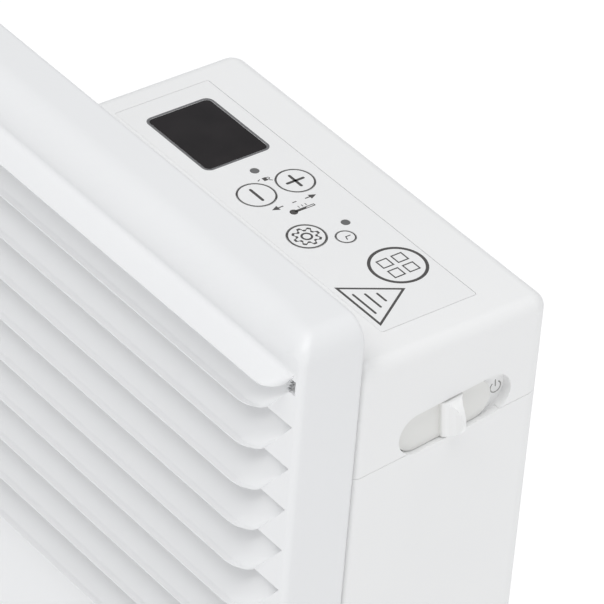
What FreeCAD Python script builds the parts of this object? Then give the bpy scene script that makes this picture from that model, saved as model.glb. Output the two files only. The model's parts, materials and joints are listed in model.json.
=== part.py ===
"""Low wall-mounted electric convector heater (baseboard height), as an assembly of separate pieces.

Units are millimetres. +Z is up, +X runs along the heater to the control end, and -Y faces the room.
The origin is the centre of the four wall holes, in the plane of the wall. The heater is drawn about its
own middle and hung RISE above the middle of the bracket.
"""
import FreeCAD, Part
import math
import os
from FreeCAD import Vector as V

os.makedirs("parts", exist_ok=True)

# ---- driving dimensions -------------------------------------------------------------------
LENGTH = 853.0          # front panel, end to end
HEIGHT = 235.0          # front panel, top to bottom
BODY_DEPTH = 90.8       # rear of the body to the flat of the front panel
WALL_GAP = 12.0         # space taken by the wall bracket
RISE = 30.0             # the heater's middle, above the middle of the wall holes
SHEET = 1.2             # front panel steel
PLATE = 1.0             # inner steel plates
PLASTIC = 2.2           # walls of the control housing

X_END = LENGTH / 2
Z_TOP = HEIGHT / 2
Z_BOTTOM = -HEIGHT / 2
Y_BACK = -WALL_GAP
Y_FRONT = Y_BACK - BODY_DEPTH

# front panel
FOLD_DEPTH = 21.7       # how far the panel's edges fold back
ROLL_RADIUS = 10.0      # front top edge
CORNER_RADIUS = 8.0     # top corners, seen from the front
SIDE_RADIUS = 2.2       # front face into the side folds
HEM = 8.0               # top rear hem
Y_FOLD = Y_FRONT + FOLD_DEPTH

# louvres
PITCH = 14.5
SLAT_COUNT = 9
SLAT_OUT = 4.8          # lower edge of a slat, proud of the flat
SLAT_IN = 2.6           # upper edge of a slat, behind the flat
TIP_INSET = 2.6         # end of a slit from the panel's side
SLAT_SLANT = 11.4       # lower edge of a slat ends this much earlier than its upper edge
SLAT_ROUND = 6.0        # rounding of a slat's end
SLIT_CUT = 0.5          # height of the cut at a slit's end
Z_SLIT = Z_TOP - 14.5   # upper edge of the first slat
Z_CREASE = Z_TOP - 10.2
LIP_RUN = 12.0          # length over which the hood's end closes
LIP_OUT = 7.2           # lower edge of the hood above the slats, proud of the flat
STRIP_LAP = 0.35        # flat end of a strip, over the side of the louvre field
X_TIP = X_END - TIP_INSET
Z_FIELD = Z_SLIT - SLAT_COUNT * PITCH

# control housing
BOX_TOP = Z_TOP - 17.5
BOX_LENGTH = 151.1
BOX_STEP = 0.3          # the housing stands this far inside the panel's side
X_BOX1 = X_END - BOX_STEP
X_BOX0 = X_BOX1 - BOX_LENGTH
Y_BOX0 = Y_FOLD + 0.6
BOX_CORNER = 5.5        # rear vertical edges
BOX_EDGE = 4.5          # top edges
SEAM_TILT = math.tan(math.radians(5.0))
SEAM_Z = BOX_TOP - 38.4  # seam between cap and base at the front
SEAM_GAP = 0.15
BASE_BOTTOM = Z_BOTTOM + SHEET

# label and what it carries, measured from its rear right corner
LABEL_X = X_BOX1 - 12.3
LABEL_Y = Y_BACK - 17.9
LABEL_LENGTH = 129.2
LABEL_WIDTH = 34.6
FOIL = 0.5
DISPLAY = (-105.8, -17.3)
DISPLAY_SIZE = (30.2, 22.5)
LEDS = ((-83.1, -17.0), (-48.1, -10.3))
LED_RADIUS = 1.4
KEYS = {
    "key_plus": (-72.7, -9.9, 5.9),
    "key_minus": (-72.8, -24.0, 5.9),
    "key_settings": (-48.4, -24.2, 5.9),
    "key_timer": (-42.3, -14.7, 3.0),
}
KEY_GAP = 0.25
KEY_HEAD = 1.8
BOARD_TOP = BOX_TOP - 14.0
BOARD = 1.6
TACT_TOP = BOARD_TOP + 5.0
KEY_CLEAR = 0.6         # key stem to switch, the key's travel and a little more

# power slide switch on the right side
SLOT_LENGTH = 40.7
SLOT_HEIGHT = 14.0
SLOT_TILT = 6.0
SLOT_Y = LABEL_Y - 14.8
SLOT_Z = BOX_TOP - 29.0
SLIDER_TRAVEL = 6.0
SLIDER_SINK = 1.5       # face of the slider, below the housing's side
SLIDER_PLATE = 1.6
SLIDER_GAP = 0.3
SLOT_DEPTH = 3.4
GRIP_RADIUS = 6.3

# heat chamber
Z_BEND = 25.0           # where the back plate starts to lean forward
ELEMENT_X = -74.0
ELEMENT_Y = -56.0
ELEMENT_Z = -48.0
ELEMENT_LENGTH = 600.0
ROD_RADIUS = 4.0
ROD_REACH = 22.0
BUSH_RADIUS = 8.0

# wall bracket
HOLE_SPACING_X = 440.0
HOLE_SPACING_Z = 80.0
HOLE_RADIUS = 3.0
SLOT_HOLE = 12.0
BRACKET = 1.5
UPRIGHT_WIDTH = 30.0
UPRIGHT_HEIGHT = 108.0
CHANNEL_DEPTH = WALL_GAP - 0.5
HOOK_Z = -25.0
LATCH_Z = 4.0


# ---- helpers ------------------------------------------------------------------------------
def block(x0, x1, y0, y1, z0, z1):
    return Part.makeBox(x1 - x0, y1 - y0, z1 - z0, V(x0, y0, z0))


def rod(x, y, z, radius, length, direction):
    return Part.makeCylinder(radius, length, V(x, y, z), direction)


UP, DOWN, EAST, REAR, FORE = V(0, 0, 1), V(0, 0, -1), V(1, 0, 0), V(0, 1, 0), V(0, -1, 0)


def fuse(shapes):
    whole = shapes[0]
    for shape in shapes[1:]:
        whole = whole.fuse(shape)
    return whole.removeSplitter()


def outline_x(points, x0, x1):
    """A closed outline in the Y-Z plane, drawn out along X."""
    wire = Part.makePolygon([V(x0, y, z) for y, z in points + points[:1]])
    return Part.Face(wire).extrude(V(x1 - x0, 0, 0))


def edges_where(shape, test):
    found = []
    for edge in shape.Edges:
        ends = [v.Point for v in edge.Vertexes]
        if len(ends) == 2 and test(ends[0], ends[1]):
            found.append(edge)
    return found


def near(a, b):
    return abs(a - b) < 1e-4


def rounded_plate(cx, cy, length, width, z0, z1, radius):
    plate = block(cx - length / 2, cx + length / 2, cy - width / 2, cy + width / 2, z0, z1)
    upright = edges_where(plate, lambda a, b: near(a.x, b.x) and near(a.y, b.y))
    return plate.makeFillet(radius, upright)


def stadium_x(length, height, x0, x1):
    """A slot shape with round ends in the Y-Z plane, centred and tilted as the side switch."""
    half, radius = length / 2 - height / 2, height / 2
    bar = block(x0, x1, -half, half, -radius, radius)
    ends = [rod(x0, side * half, 0, radius, x1 - x0, EAST) for side in (-1, 1)]
    return place_on_side(fuse([bar] + ends))


def place_on_side(shape):
    shape = shape.copy()
    shape.rotate(V(0, 0, 0), EAST, SLOT_TILT)
    shape.translate(V(0, SLOT_Y, SLOT_Z))
    return shape


def tube(points, radius):
    """A wire's solid: straight runs joined by tangent arcs as large as the runs allow."""
    points = [V(*p) for p in points]
    edges, start = [], points[0]
    for before, here, after in zip(points, points[1:], points[2:]):
        back, ahead = (before - here), (after - here)
        turn = math.pi - back.getAngle(ahead)
        reach = 0.45 * min(back.Length, ahead.Length)
        back.normalize()
        ahead.normalize()
        first, last = here + back * reach, here + ahead * reach
        inward = (back + ahead).normalize()
        bend = reach / math.tan(turn / 2)
        centre = here + inward * math.hypot(bend, reach)
        middle = centre - inward * bend
        edges += [Part.LineSegment(start, first).toShape(), Part.Arc(first, middle, last).toShape()]
        start = last
    edges.append(Part.LineSegment(start, points[-1]).toShape())
    path = Part.Wire(edges)
    ring = Part.Wire(Part.makeCircle(radius, points[0], points[1] - points[0]))
    return path.makePipeShell([ring], True, False)


def screw(x, y, z, direction, head=3.6, head_height=2.0, shank=1.6, length=7.0):
    """A pan-head screw whose head's seat is at the point, with its shank along the direction."""
    back = direction * -1
    top = rod(x, y, z, head, head_height, back)
    rims = [e for e in top.Edges if near(e.CenterOfMass.distanceToPoint(V(x, y, z)), head_height)]
    top = top.makeFillet(head_height * 0.45, rims)
    slot_at = V(x, y, z) + back * (head_height - 0.8)
    cross = [Part.makeBox(head * 1.1, 0.9, 1.0), Part.makeBox(0.9, head * 1.1, 1.0)]
    turn = FreeCAD.Rotation(UP, back)
    for bar in cross:
        bar.translate(V(-bar.BoundBox.XLength / 2, -bar.BoundBox.YLength / 2, 0))
        bar.Placement = FreeCAD.Placement(slot_at, turn).multiply(bar.Placement)
        top = top.cut(bar)
    return top.fuse(rod(x, y, z, shank, length, direction))


def save(name, shapes, rise=RISE):
    shapes = shapes if isinstance(shapes, list) else [shapes]
    solids = [s for shape in shapes for s in shape.Solids]
    for solid in solids:
        solid.translate(V(0, 0, rise))
        if not solid.isValid() or solid.Volume <= 0:
            print("BAD SOLID", name, solid.Volume)
    whole = solids[0] if len(solids) == 1 else Part.makeCompound(solids)
    whole.exportStep(f"parts/{name}.step")


# ---- front panel --------------------------------------------------------------------------
def panel_block(inset):
    """The outside (inset 0) or the inside of the folded panel, which is open at the rear."""
    rear = Y_FOLD + (5.0 if inset else 0.0)
    x_side, y_face = X_END - inset, Y_FRONT + inset
    z_top, z_low = Z_TOP - inset, Z_BOTTOM + inset
    form = block(-x_side, x_side, y_face, rear, z_low, z_top)

    def on_face(a, b):
        return near(a.y, y_face) and near(b.y, y_face)

    roll = edges_where(form, lambda a, b: on_face(a, b) and near(a.z + b.z, 2 * z_top))
    along = form.makeFillet(ROLL_RADIUS - inset, roll)
    low = edges_where(along, lambda a, b: on_face(a, b) and near(a.z + b.z, 2 * z_low))
    along = along.makeFillet(SIDE_RADIUS - inset, low)
    corners = edges_where(form, lambda a, b: near(a.z + b.z, 2 * z_top) and near(a.x, b.x))
    ends = form.makeFillet(CORNER_RADIUS - inset, corners)
    upright = edges_where(form, lambda a, b: on_face(a, b) and near(a.x, b.x))
    sides = form.makeFillet(SIDE_RADIUS - inset, upright)
    return along.common(ends).common(sides)


def facet(points):
    return Part.Face(Part.makePolygon(points + points[:1]))


def louvre_strip(z_high, z_low, behind, proud, slant, run):
    """One pressed strip of the panel, flat at its ends and leaning out towards its lower edge."""
    right = [(X_TIP + STRIP_LAP, X_TIP + STRIP_LAP, 0.0)]
    for angle in (90, 60, 30, 0):
        along = run * (1 - math.sin(math.radians(angle)))
        right.append((X_TIP - along, X_TIP - slant - along, math.cos(math.radians(angle))))
    columns = [(-high, -low, depth) for high, low, depth in right] + right[::-1]
    front = [
        (V(x0, Y_FRONT + behind * depth, z_high), V(x1, Y_FRONT - proud * depth, z_low))
        for x0, x1, depth in columns
    ]
    deep = V(0, SHEET, 0)
    faces = []
    for (top_a, low_a), (top_b, low_b) in zip(front, front[1:]):
        faces += [facet([top_a, low_a, low_b]), facet([top_a, low_b, top_b])]
        faces.append(facet([top_a + deep, low_b + deep, low_a + deep]))
        faces.append(facet([top_a + deep, top_b + deep, low_b + deep]))
        faces.append(facet([top_a, top_b, top_b + deep, top_a + deep]))
        faces.append(facet([low_a, low_a + deep, low_b + deep, low_b]))
    for top, low in (front[0], front[-1]):
        faces.append(facet([top, low, low + deep, top + deep]))
    strip = Part.makeSolid(Part.makeShell(faces))
    return strip if strip.Volume > 0 else strip.reversed()


def slit_relief(side):
    """The small open corner where the first slit meets the lip."""
    high, low = Z_SLIT + 1.0, Z_SLIT - 3.4
    outer, inner = X_TIP + 0.3, X_TIP - 3.6
    corners = [(outer, high), (outer, low), (inner, low), (inner, high)]
    wire = Part.makePolygon([V(side * x, Y_FRONT - 1, z) for x, z in corners + corners[:1]])
    return Part.Face(wire).extrude(V(0, SHEET + 2, 0))


def front_panel():
    shell = panel_block(0).cut(panel_block(SHEET))
    window = block(-X_TIP, X_TIP, Y_FRONT - 1, Y_FRONT + SHEET + 1, Z_FIELD, Z_CREASE)
    shell = shell.cut(window)
    strips = [louvre_strip(Z_CREASE + 0.3, Z_SLIT + SLIT_CUT, 0.0, LIP_OUT, 0.0, LIP_RUN)]
    for k in range(SLAT_COUNT):
        high, low = Z_SLIT - k * PITCH, Z_SLIT - (k + 1) * PITCH
        foot = low if k == SLAT_COUNT - 1 else low + SLIT_CUT
        strips.append(louvre_strip(high, foot, SLAT_IN, SLAT_OUT, SLAT_SLANT, SLAT_ROUND))
    for strip in strips:
        shell = shell.fuse(strip)
    inner = X_END - CORNER_RADIUS - 2
    hem = block(-inner, inner, Y_FOLD - SHEET, Y_FOLD, Z_TOP - HEM, Z_TOP - 0.2)
    panel = shell.fuse(hem).removeSplitter()
    for side in (-1, 1):
        panel = panel.cut(slit_relief(side))
    for x in PANEL_SCREWS_X:
        panel = panel.cut(rod(x, PANEL_SCREW_Y, Z_BOTTOM - 1, 2.0, SHEET + 2, UP))
    return panel


PANEL_SCREWS_X = (-390.0, -130.0, 130.0, 390.0)
PANEL_SCREW_Y = Y_FOLD - 8.0


def panel_screws():
    return [
        screw(x, PANEL_SCREW_Y, Z_BOTTOM, UP, head=4.0, head_height=1.8, shank=1.7, length=9.0)
        for x in PANEL_SCREWS_X
    ]


# ---- steel body ---------------------------------------------------------------------------
X_BODY0 = -X_END + SHEET
X_BODY1 = X_BOX0 - 0.2
FLOOR_Z = Z_BOTTOM + SHEET
FLOOR_Y = Y_FRONT + SIDE_RADIUS + 0.2
FLANGE_Y = Y_FOLD - SHEET - 0.1
INLETS = 4
INLET_STRAP = 14.0
INLET_Y = (-84.0, -20.0)


def inlet_windows():
    span0, span1 = X_BODY0 + 30.0, X_BODY1 - 20.0
    width = (span1 - span0 - (INLETS - 1) * INLET_STRAP) / INLETS
    starts = [span0 + k * (width + INLET_STRAP) for k in range(INLETS)]
    return [(start, start + width) for start in starts]


def back_plate():
    """Floor, rear wall, leaning air guide and the flange that the panel's hem hooks over."""
    lean_y, lean_z = FLANGE_Y, Z_TOP - 17.0
    outer = [
        (FLOOR_Y, FLOOR_Z), (Y_BACK, FLOOR_Z), (Y_BACK, Z_BEND), (lean_y, lean_z),
        (lean_y, Z_TOP - 2.0), (lean_y - PLATE, Z_TOP - 2.0), (lean_y - PLATE, lean_z - 0.9),
        (Y_BACK - PLATE, Z_BEND - 0.5), (Y_BACK - PLATE, FLOOR_Z + PLATE),
        (FLOOR_Y + PLATE, FLOOR_Z + PLATE), (FLOOR_Y + PLATE, FLOOR_Z + 14.0), (FLOOR_Y, FLOOR_Z + 14.0),
    ]
    plate = outline_x(outer, X_BODY0 + PLATE + 0.1, X_BODY1)
    for x0, x1 in inlet_windows():
        plate = plate.cut(block(x0, x1, INLET_Y[0], INLET_Y[1], FLOOR_Z - 1, FLOOR_Z + PLATE + 1))
    for x in PANEL_SCREWS_X[:3]:
        plate = plate.cut(rod(x, PANEL_SCREW_Y, FLOOR_Z - 1, 2.0, PLATE + 2, UP))
    hook, catch = HOOK_Z - RISE, LATCH_Z - RISE
    for x in hook_places():
        plate = plate.cut(block(x - 1.6, x + 1.6, Y_BACK - 3, Y_BACK + 1, hook - 7.0, hook + 14.0))
    for side in (-1, 1):
        x = side * HOLE_SPACING_X / 2
        plate = plate.cut(block(x - 5.5, x + 5.5, Y_BACK - 3, Y_BACK + 1, catch + 4.0, catch + 13.0))
        plate = plate.cut(block(x - 2.6, x + 2.6, Y_BACK - 3, Y_BACK + 1, catch - 4.0, catch + 5.0))
    for x in SHIELD_SCREWS_X:
        plate = plate.cut(rod(x, Y_BACK - 3, SHIELD_SCREW_Z, 1.8, 5.0, REAR))
    return plate


def left_end_plate():
    rim = [
        (Y_FOLD - 6.0, Z_TOP - 14.0), (FLANGE_Y, Z_TOP - 17.0), (Y_BACK, Z_BEND), (Y_BACK, FLOOR_Z),
        (Y_FOLD - 6.0, FLOOR_Z),
    ]
    return outline_x(rim, X_BODY0, X_BODY0 + PLATE)


def partition_plate():
    """Closes the heat chamber towards the control housing."""
    rim = [
        (Y_FRONT + 10.0, Z_TOP - 24.0), (FLANGE_Y - PLATE - 0.6, Z_TOP - 24.0),
        (Y_BACK - PLATE - 0.4, Z_BEND - 2.0), (Y_BACK - PLATE - 0.4, FLOOR_Z + PLATE),
        (Y_FRONT + 10.0, FLOOR_Z + PLATE),
    ]
    plate = outline_x(rim, X_BODY1 - 6.0 - PLATE, X_BODY1 - 6.0)
    return plate.cut(rod(X_BODY1 - 9.0, ELEMENT_Y, ELEMENT_Z, GROMMET_RADIUS, 6.0, EAST))


GROMMET_RADIUS = 7.0


def grommet():
    x = X_BODY1 - 6.0 - PLATE / 2
    ring = rod(x - 2.5, ELEMENT_Y, ELEMENT_Z, GROMMET_RADIUS + 2.0, 5.0, EAST)
    groove = rod(x - PLATE / 2, ELEMENT_Y, ELEMENT_Z, GROMMET_RADIUS + 3, PLATE, EAST)
    groove = groove.cut(rod(x - PLATE / 2, ELEMENT_Y, ELEMENT_Z, GROMMET_RADIUS, PLATE, EAST))
    return ring.cut(groove).cut(rod(x - 3, ELEMENT_Y, ELEMENT_Z, 5.2, 6.0, EAST))


SHIELD_SCREWS_X = (-350.0, -74.0, 180.0)
SHIELD_SCREW_Z = -78.0
SHIELD_Y = Y_BACK - PLATE - 9.0


def heat_shield():
    """Bright sheet behind the element, with feet on the rear wall."""
    x0, x1 = X_BODY0 + 24.0, X_BODY1 - 26.0
    face = block(x0, x1, SHIELD_Y - 0.6, SHIELD_Y, -88.0, 12.0)
    foot = block(x0, x1, SHIELD_Y - 0.6, Y_BACK - PLATE, -88.6, -88.0)
    toe = block(x0, x1, Y_BACK - PLATE - 0.6, Y_BACK - PLATE, -88.0, -68.0)
    shield = fuse([face, foot, toe])
    for x in SHIELD_SCREWS_X:
        shield = shield.cut(rod(x, SHIELD_Y - 2, SHIELD_SCREW_Z, 1.8, 14.0, REAR))
        shield = shield.cut(rod(x, SHIELD_Y - 2, SHIELD_SCREW_Z, 4.5, 4.0, REAR))
    return shield


def shield_screws():
    return [
        screw(x, Y_BACK, SHIELD_SCREW_Z, FORE, head=3.6, head_height=2.0, shank=1.6, length=6.0)
        for x in SHIELD_SCREWS_X
    ]


# ---- heating element ----------------------------------------------------------------------
def heating_element():
    """Extruded aluminium element: a web with tall fins, on a round core."""
    x0 = ELEMENT_X - ELEMENT_LENGTH / 2
    x1 = ELEMENT_X + ELEMENT_LENGTH / 2
    web = block(x0, x1, ELEMENT_Y - 27.0, ELEMENT_Y + 27.0, ELEMENT_Z - 1.0, ELEMENT_Z + 1.0)
    core = rod(x0, ELEMENT_Y, ELEMENT_Z, 7.0, ELEMENT_LENGTH, EAST)
    fins = []
    for k in range(3):
        for side in (-1, 1):
            y = ELEMENT_Y + side * (11.0 + 8.0 * k)
            fins.append(block(x0, x1, y - 0.6, y + 0.6, ELEMENT_Z - 19.0, ELEMENT_Z + 19.0))
    body = fuse([web, core] + fins)
    return body.cut(rod(x0 - 1, ELEMENT_Y, ELEMENT_Z, ROD_RADIUS, ELEMENT_LENGTH + 2, EAST))


def element_rod():
    x0 = ELEMENT_X - ELEMENT_LENGTH / 2 - ROD_REACH
    length = ELEMENT_LENGTH + 2 * ROD_REACH
    pin = rod(x0 - 9.0, ELEMENT_Y, ELEMENT_Z, 1.5, length + 18.0, EAST)
    return fuse([rod(x0, ELEMENT_Y, ELEMENT_Z, ROD_RADIUS, length, EAST), pin])


def holder_places():
    return [ELEMENT_X + side * (ELEMENT_LENGTH / 2 + 10.0) for side in (-1, 1)]


def element_bushes():
    bushes = []
    for x in holder_places():
        wide = rod(x - 4.0, ELEMENT_Y, ELEMENT_Z, BUSH_RADIUS, 8.0, EAST)
        rim = rod(x + PLATE / 2, ELEMENT_Y, ELEMENT_Z, BUSH_RADIUS + 2.5, 2.5, EAST)
        bushes.append(fuse([wide, rim]).cut(rod(x - 5, ELEMENT_Y, ELEMENT_Z, ROD_RADIUS, 12.0, EAST)))
    return bushes


def element_holder(x):
    """Upright plate with a foot on the floor; the bush sits in its round hole."""
    y0, y1 = ELEMENT_Y - 14.0, ELEMENT_Y + 14.0
    floor = FLOOR_Z + PLATE
    upright = block(x - PLATE / 2, x + PLATE / 2, y0, y1, floor, ELEMENT_Z + 16.0)
    foot = block(x - PLATE / 2, x + 12.0, INLET_Y[0] - 4.0, INLET_Y[1] + 4.0, floor, floor + PLATE)
    holder = fuse([upright, foot])
    return holder.cut(rod(x - 2, ELEMENT_Y, ELEMENT_Z, BUSH_RADIUS, 4.0, EAST))


CUTOUT_X = 150.0


def thermal_cutout():
    """Disc thermostat on the shield, above the element."""
    y, z = SHIELD_Y - 0.6, -14.0
    flange = block(CUTOUT_X - 12, CUTOUT_X + 12, y - 1.0, y, z - 6, z + 6)
    can = rod(CUTOUT_X, y - 1.0, z, 8.0, 6.0, FORE)
    middles = (CUTOUT_X - 5, CUTOUT_X + 5)
    blades = [block(x - 2, x + 2, y - 15.0, y - 7.0, z - 0.4, z + 0.4) for x in middles]
    return fuse([flange, can] + blades)


# ---- control housing ----------------------------------------------------------------------
def housing_block(inset, z0, z1):
    form = block(X_BOX0 + inset, X_BOX1 - inset, Y_BOX0 + inset, Y_BACK - inset, z0, z1)
    y_rear, y_near = Y_BACK - inset, Y_BOX0 + inset
    rear = edges_where(form, lambda a, b: near(a.x, b.x) and near(a.y, y_rear) and near(b.y, y_rear))
    form = form.makeFillet(BOX_CORNER - inset, rear)
    front = edges_where(form, lambda a, b: near(a.x, b.x) and near(a.y, y_near) and near(b.y, y_near))
    return form.makeFillet(2.5 - inset, front) if inset < 2.5 else form


def seam_wedge(lift, top):
    """Everything above (top True) or below the tilted seam."""
    y0, y1 = Y_BOX0 - 20.0, Y_BACK + 20.0
    z0 = SEAM_Z + lift + (y0 - Y_FOLD) * SEAM_TILT
    z1 = SEAM_Z + lift + (y1 - Y_FOLD) * SEAM_TILT
    far = BOX_TOP + 50.0 if top else Z_BOTTOM - 50.0
    return outline_x([(y0, z0), (y1, z1), (y1, far), (y0, far)], X_BOX0 - 20, X_BOX1 + 20)


POSTS = [(LABEL_X + dx, LABEL_Y + dy) for dx in (-124.0, -5.0) for dy in (-31.5, 3.0)]


def control_cap():
    form = housing_block(0, SEAM_Z - 20, BOX_TOP)
    rims = edges_where(form, lambda a, b: near(a.z, BOX_TOP) and near(b.z, BOX_TOP))
    form = form.makeFillet(BOX_EDGE, rims)
    hollow = housing_block(PLASTIC, SEAM_Z - 30, BOX_TOP - PLASTIC)
    cap = form.cut(hollow)
    posts = [rod(x, y, BOX_TOP - PLASTIC, 3.0, BOX_TOP - PLASTIC - BOARD_TOP, DOWN) for x, y in POSTS]
    cap = fuse([cap.common(seam_wedge(SEAM_GAP / 2, True))] + posts)
    label_cx, label_cy = LABEL_X - LABEL_LENGTH / 2, LABEL_Y - LABEL_WIDTH / 2
    seat = rounded_plate(label_cx, label_cy, LABEL_LENGTH, LABEL_WIDTH, BOX_TOP - FOIL, BOX_TOP + 1, 0.8)
    cap = cap.cut(seat)
    cap = cap.cut(display_block(0.2, BOX_TOP - 4, BOX_TOP + 1))
    for dx, dy, radius in KEYS.values():
        cap = cap.cut(rod(LABEL_X + dx, LABEL_Y + dy, BOX_TOP - 4, radius + 0.4, 5.0, UP))
    for dx, dy in LEDS:
        cap = cap.cut(rod(LABEL_X + dx, LABEL_Y + dy, BOX_TOP - 4, LED_RADIUS + 0.1, 5.0, UP))
    for x, y in POSTS:
        cap = cap.cut(rod(x, y, BOARD_TOP - 1, 1.5, 9.0, UP))
    cap = cap.cut(stadium_x(SLOT_LENGTH, SLOT_HEIGHT, X_BOX1 - 6, X_BOX1 + 1))
    for x in CAP_SCREWS_X:
        cap = cap.cut(rod(x, Y_BACK - 4, CAP_SCREW_Z, 1.8, 5.0, REAR))
    return cap


CAP_SCREWS_X = (X_BOX0 + 22.0, X_BOX1 - 22.0)
CAP_SCREW_Z = 78.0


def cap_screws():
    return [
        screw(x, Y_BACK, CAP_SCREW_Z, FORE, head=3.4, head_height=1.8, shank=1.6, length=8.0)
        for x in CAP_SCREWS_X
    ]


def housing_base():
    """Tall lower housing with its own floor; a tongue inside the cap lines the two up."""
    form = housing_block(0, BASE_BOTTOM, BOX_TOP)
    hollow = housing_block(PLASTIC, BASE_BOTTOM + PLASTIC, BOX_TOP + 5)
    base = form.cut(hollow).common(seam_wedge(-SEAM_GAP / 2, False))
    tongue = housing_block(PLASTIC + 0.2, SEAM_Z - 20, BOX_TOP - 8).cut(
        housing_block(PLASTIC + 1.6, SEAM_Z - 30, BOX_TOP)
    )
    tongue = tongue.common(seam_wedge(3.0, False)).cut(seam_wedge(-8.0, False))
    ledge = housing_block(PLASTIC - 0.1, SEAM_Z - 20, BOX_TOP - 8).cut(
        housing_block(PLASTIC + 1.6, SEAM_Z - 30, BOX_TOP)
    )
    ledge = ledge.common(seam_wedge(-2.0, False)).cut(seam_wedge(-8.0, False))
    base = fuse([base, tongue, ledge])
    base = base.cut(stadium_x(SLOT_LENGTH + 6, SLOT_HEIGHT + 6, X_BOX1 - 12, X_BOX1 - PLASTIC + 0.05))
    base = base.cut(stadium_x(SLOT_LENGTH, SLOT_HEIGHT, X_BOX1 - 6, X_BOX1 + 1))
    base = base.cut(rod(CORD_X, CORD_Y, BASE_BOTTOM - 1, INLET_RADIUS, PLASTIC + 2, UP))
    base = base.cut(rod(X_BOX0 - 1, ELEMENT_Y, ELEMENT_Z, GROMMET_RADIUS, PLASTIC + 2, EAST))
    for k in range(SENSOR_SLOTS):
        z = SENSOR_Z + 5.0 * (k - 1)
        slot = block(X_BOX1 - PLASTIC - 1, X_BOX1 + 1, SENSOR_Y - 9, SENSOR_Y + 9, z - 1.0, z + 1.0)
        base = base.cut(slot)
    return base


CORD_X, CORD_Y = X_BOX1 - 40.0, -40.0
INLET_RADIUS = 7.5
SENSOR_Y, SENSOR_Z = -45.0, -88.0
SENSOR_SLOTS = 3


def cord_bushing():
    """Bush in the floor of the housing where a supply lead would enter."""
    z = BASE_BOTTOM
    body = rod(CORD_X, CORD_Y, z, INLET_RADIUS, PLASTIC + 8.0, UP)
    nut = rod(CORD_X, CORD_Y, z + PLASTIC, 10.0, 3.0, UP)
    return fuse([body, nut]).cut(rod(CORD_X, CORD_Y, z - 1, 4.5, 16.0, UP))


def cord_clamp():
    z = BASE_BOTTOM + PLASTIC + 16.0
    bridge = block(CORD_X - 14, CORD_X + 14, CORD_Y - 4, CORD_Y + 4, z, z + 5)
    bridge = bridge.cut(rod(CORD_X, CORD_Y - 5, z, 3.6, 10, REAR))
    for side in (-1, 1):
        bridge = bridge.cut(rod(CORD_X + side * 10, CORD_Y, z - 1, 1.8, 7, UP))
    return bridge


def clamp_base():
    z0, z1 = BASE_BOTTOM + PLASTIC, BASE_BOTTOM + PLASTIC + 16.0
    middles = (CORD_X - 12, CORD_X + 12)
    feet = [block(x - 2, x + 2, CORD_Y - 4, CORD_Y + 4, z0, z1) for x in middles]
    bar = block(CORD_X - 14, CORD_X + 14, CORD_Y - 4, CORD_Y + 4, z1 - 3, z1)
    base = fuse(feet + [bar]).cut(rod(CORD_X, CORD_Y - 5, z1, 3.6, 10, REAR))
    for side in (-1, 1):
        base = base.cut(rod(CORD_X + side * 10, CORD_Y, z1 - 8, 1.7, 9, UP))
    return base


def clamp_screws():
    z = BASE_BOTTOM + PLASTIC + 21.0
    return [
        screw(x, CORD_Y, z, DOWN, head=3.0, head_height=1.8, shank=1.5, length=9.0)
        for x in (CORD_X - 10, CORD_X + 10)
    ]


# ---- control panel ------------------------------------------------------------------------
def display_block(gap, z0, z1):
    x, y = LABEL_X + DISPLAY[0], LABEL_Y + DISPLAY[1]
    return rounded_plate(x, y, DISPLAY_SIZE[0] + 2 * gap, DISPLAY_SIZE[1] + 2 * gap, z0, z1, 1.8)


def label_foil():
    cx, cy = LABEL_X - LABEL_LENGTH / 2, LABEL_Y - LABEL_WIDTH / 2
    foil = rounded_plate(cx, cy - 0.1, LABEL_LENGTH - 0.3, LABEL_WIDTH - 0.3, BOX_TOP - FOIL, BOX_TOP, 0.7)
    foil = foil.cut(display_block(0.1, BOX_TOP - 2, BOX_TOP + 1))
    for dx, dy, radius in KEYS.values():
        foil = foil.cut(rod(LABEL_X + dx, LABEL_Y + dy, BOX_TOP - 2, radius + KEY_GAP, 4.0, UP))
    for dx, dy in LEDS:
        foil = foil.cut(rod(LABEL_X + dx, LABEL_Y + dy, BOX_TOP - 2, LED_RADIUS + 0.05, 4.0, UP))
    return foil


def display_window():
    return display_block(0, BOX_TOP - 1.8, BOX_TOP - 0.05)


def display_module():
    x, y = LABEL_X + DISPLAY[0], LABEL_Y + DISPLAY[1]
    can = block(x - 14, x + 14, y - 10, y + 10, BOARD_TOP, BOX_TOP - 2.4)
    lugs = [block(x + s * 15 - 2, x + s * 15 + 2, y - 3, y + 3, BOARD_TOP, BOARD_TOP + 2) for s in (-1, 1)]
    return fuse([can] + lugs)


def key(name):
    dx, dy, radius = KEYS[name]
    x, y = LABEL_X + dx, LABEL_Y + dy
    head = rod(x, y, BOX_TOP - KEY_HEAD, radius, KEY_HEAD, UP)
    stem_radius = min(2.2, radius * 0.6)
    foot = TACT_TOP + KEY_CLEAR
    stem = rod(x, y, foot, stem_radius, BOX_TOP - KEY_HEAD - foot + 0.1, UP)
    return fuse([head, stem])


def tact_switches():
    switches = []
    for dx, dy, _ in KEYS.values():
        x, y = LABEL_X + dx, LABEL_Y + dy
        can = block(x - 3, x + 3, y - 3, y + 3, BOARD_TOP, BOARD_TOP + 3.5)
        switches.append(fuse([can, rod(x, y, BOARD_TOP + 3.5, 1.5, TACT_TOP - BOARD_TOP - 3.5, UP)]))
    return switches


def light_pipes():
    pipes = []
    for dx, dy in LEDS:
        x, y = LABEL_X + dx, LABEL_Y + dy
        pipes.append(rod(x, y, BOARD_TOP + 1.5, LED_RADIUS, BOX_TOP - BOARD_TOP - 1.6, UP))
    return pipes


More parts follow.
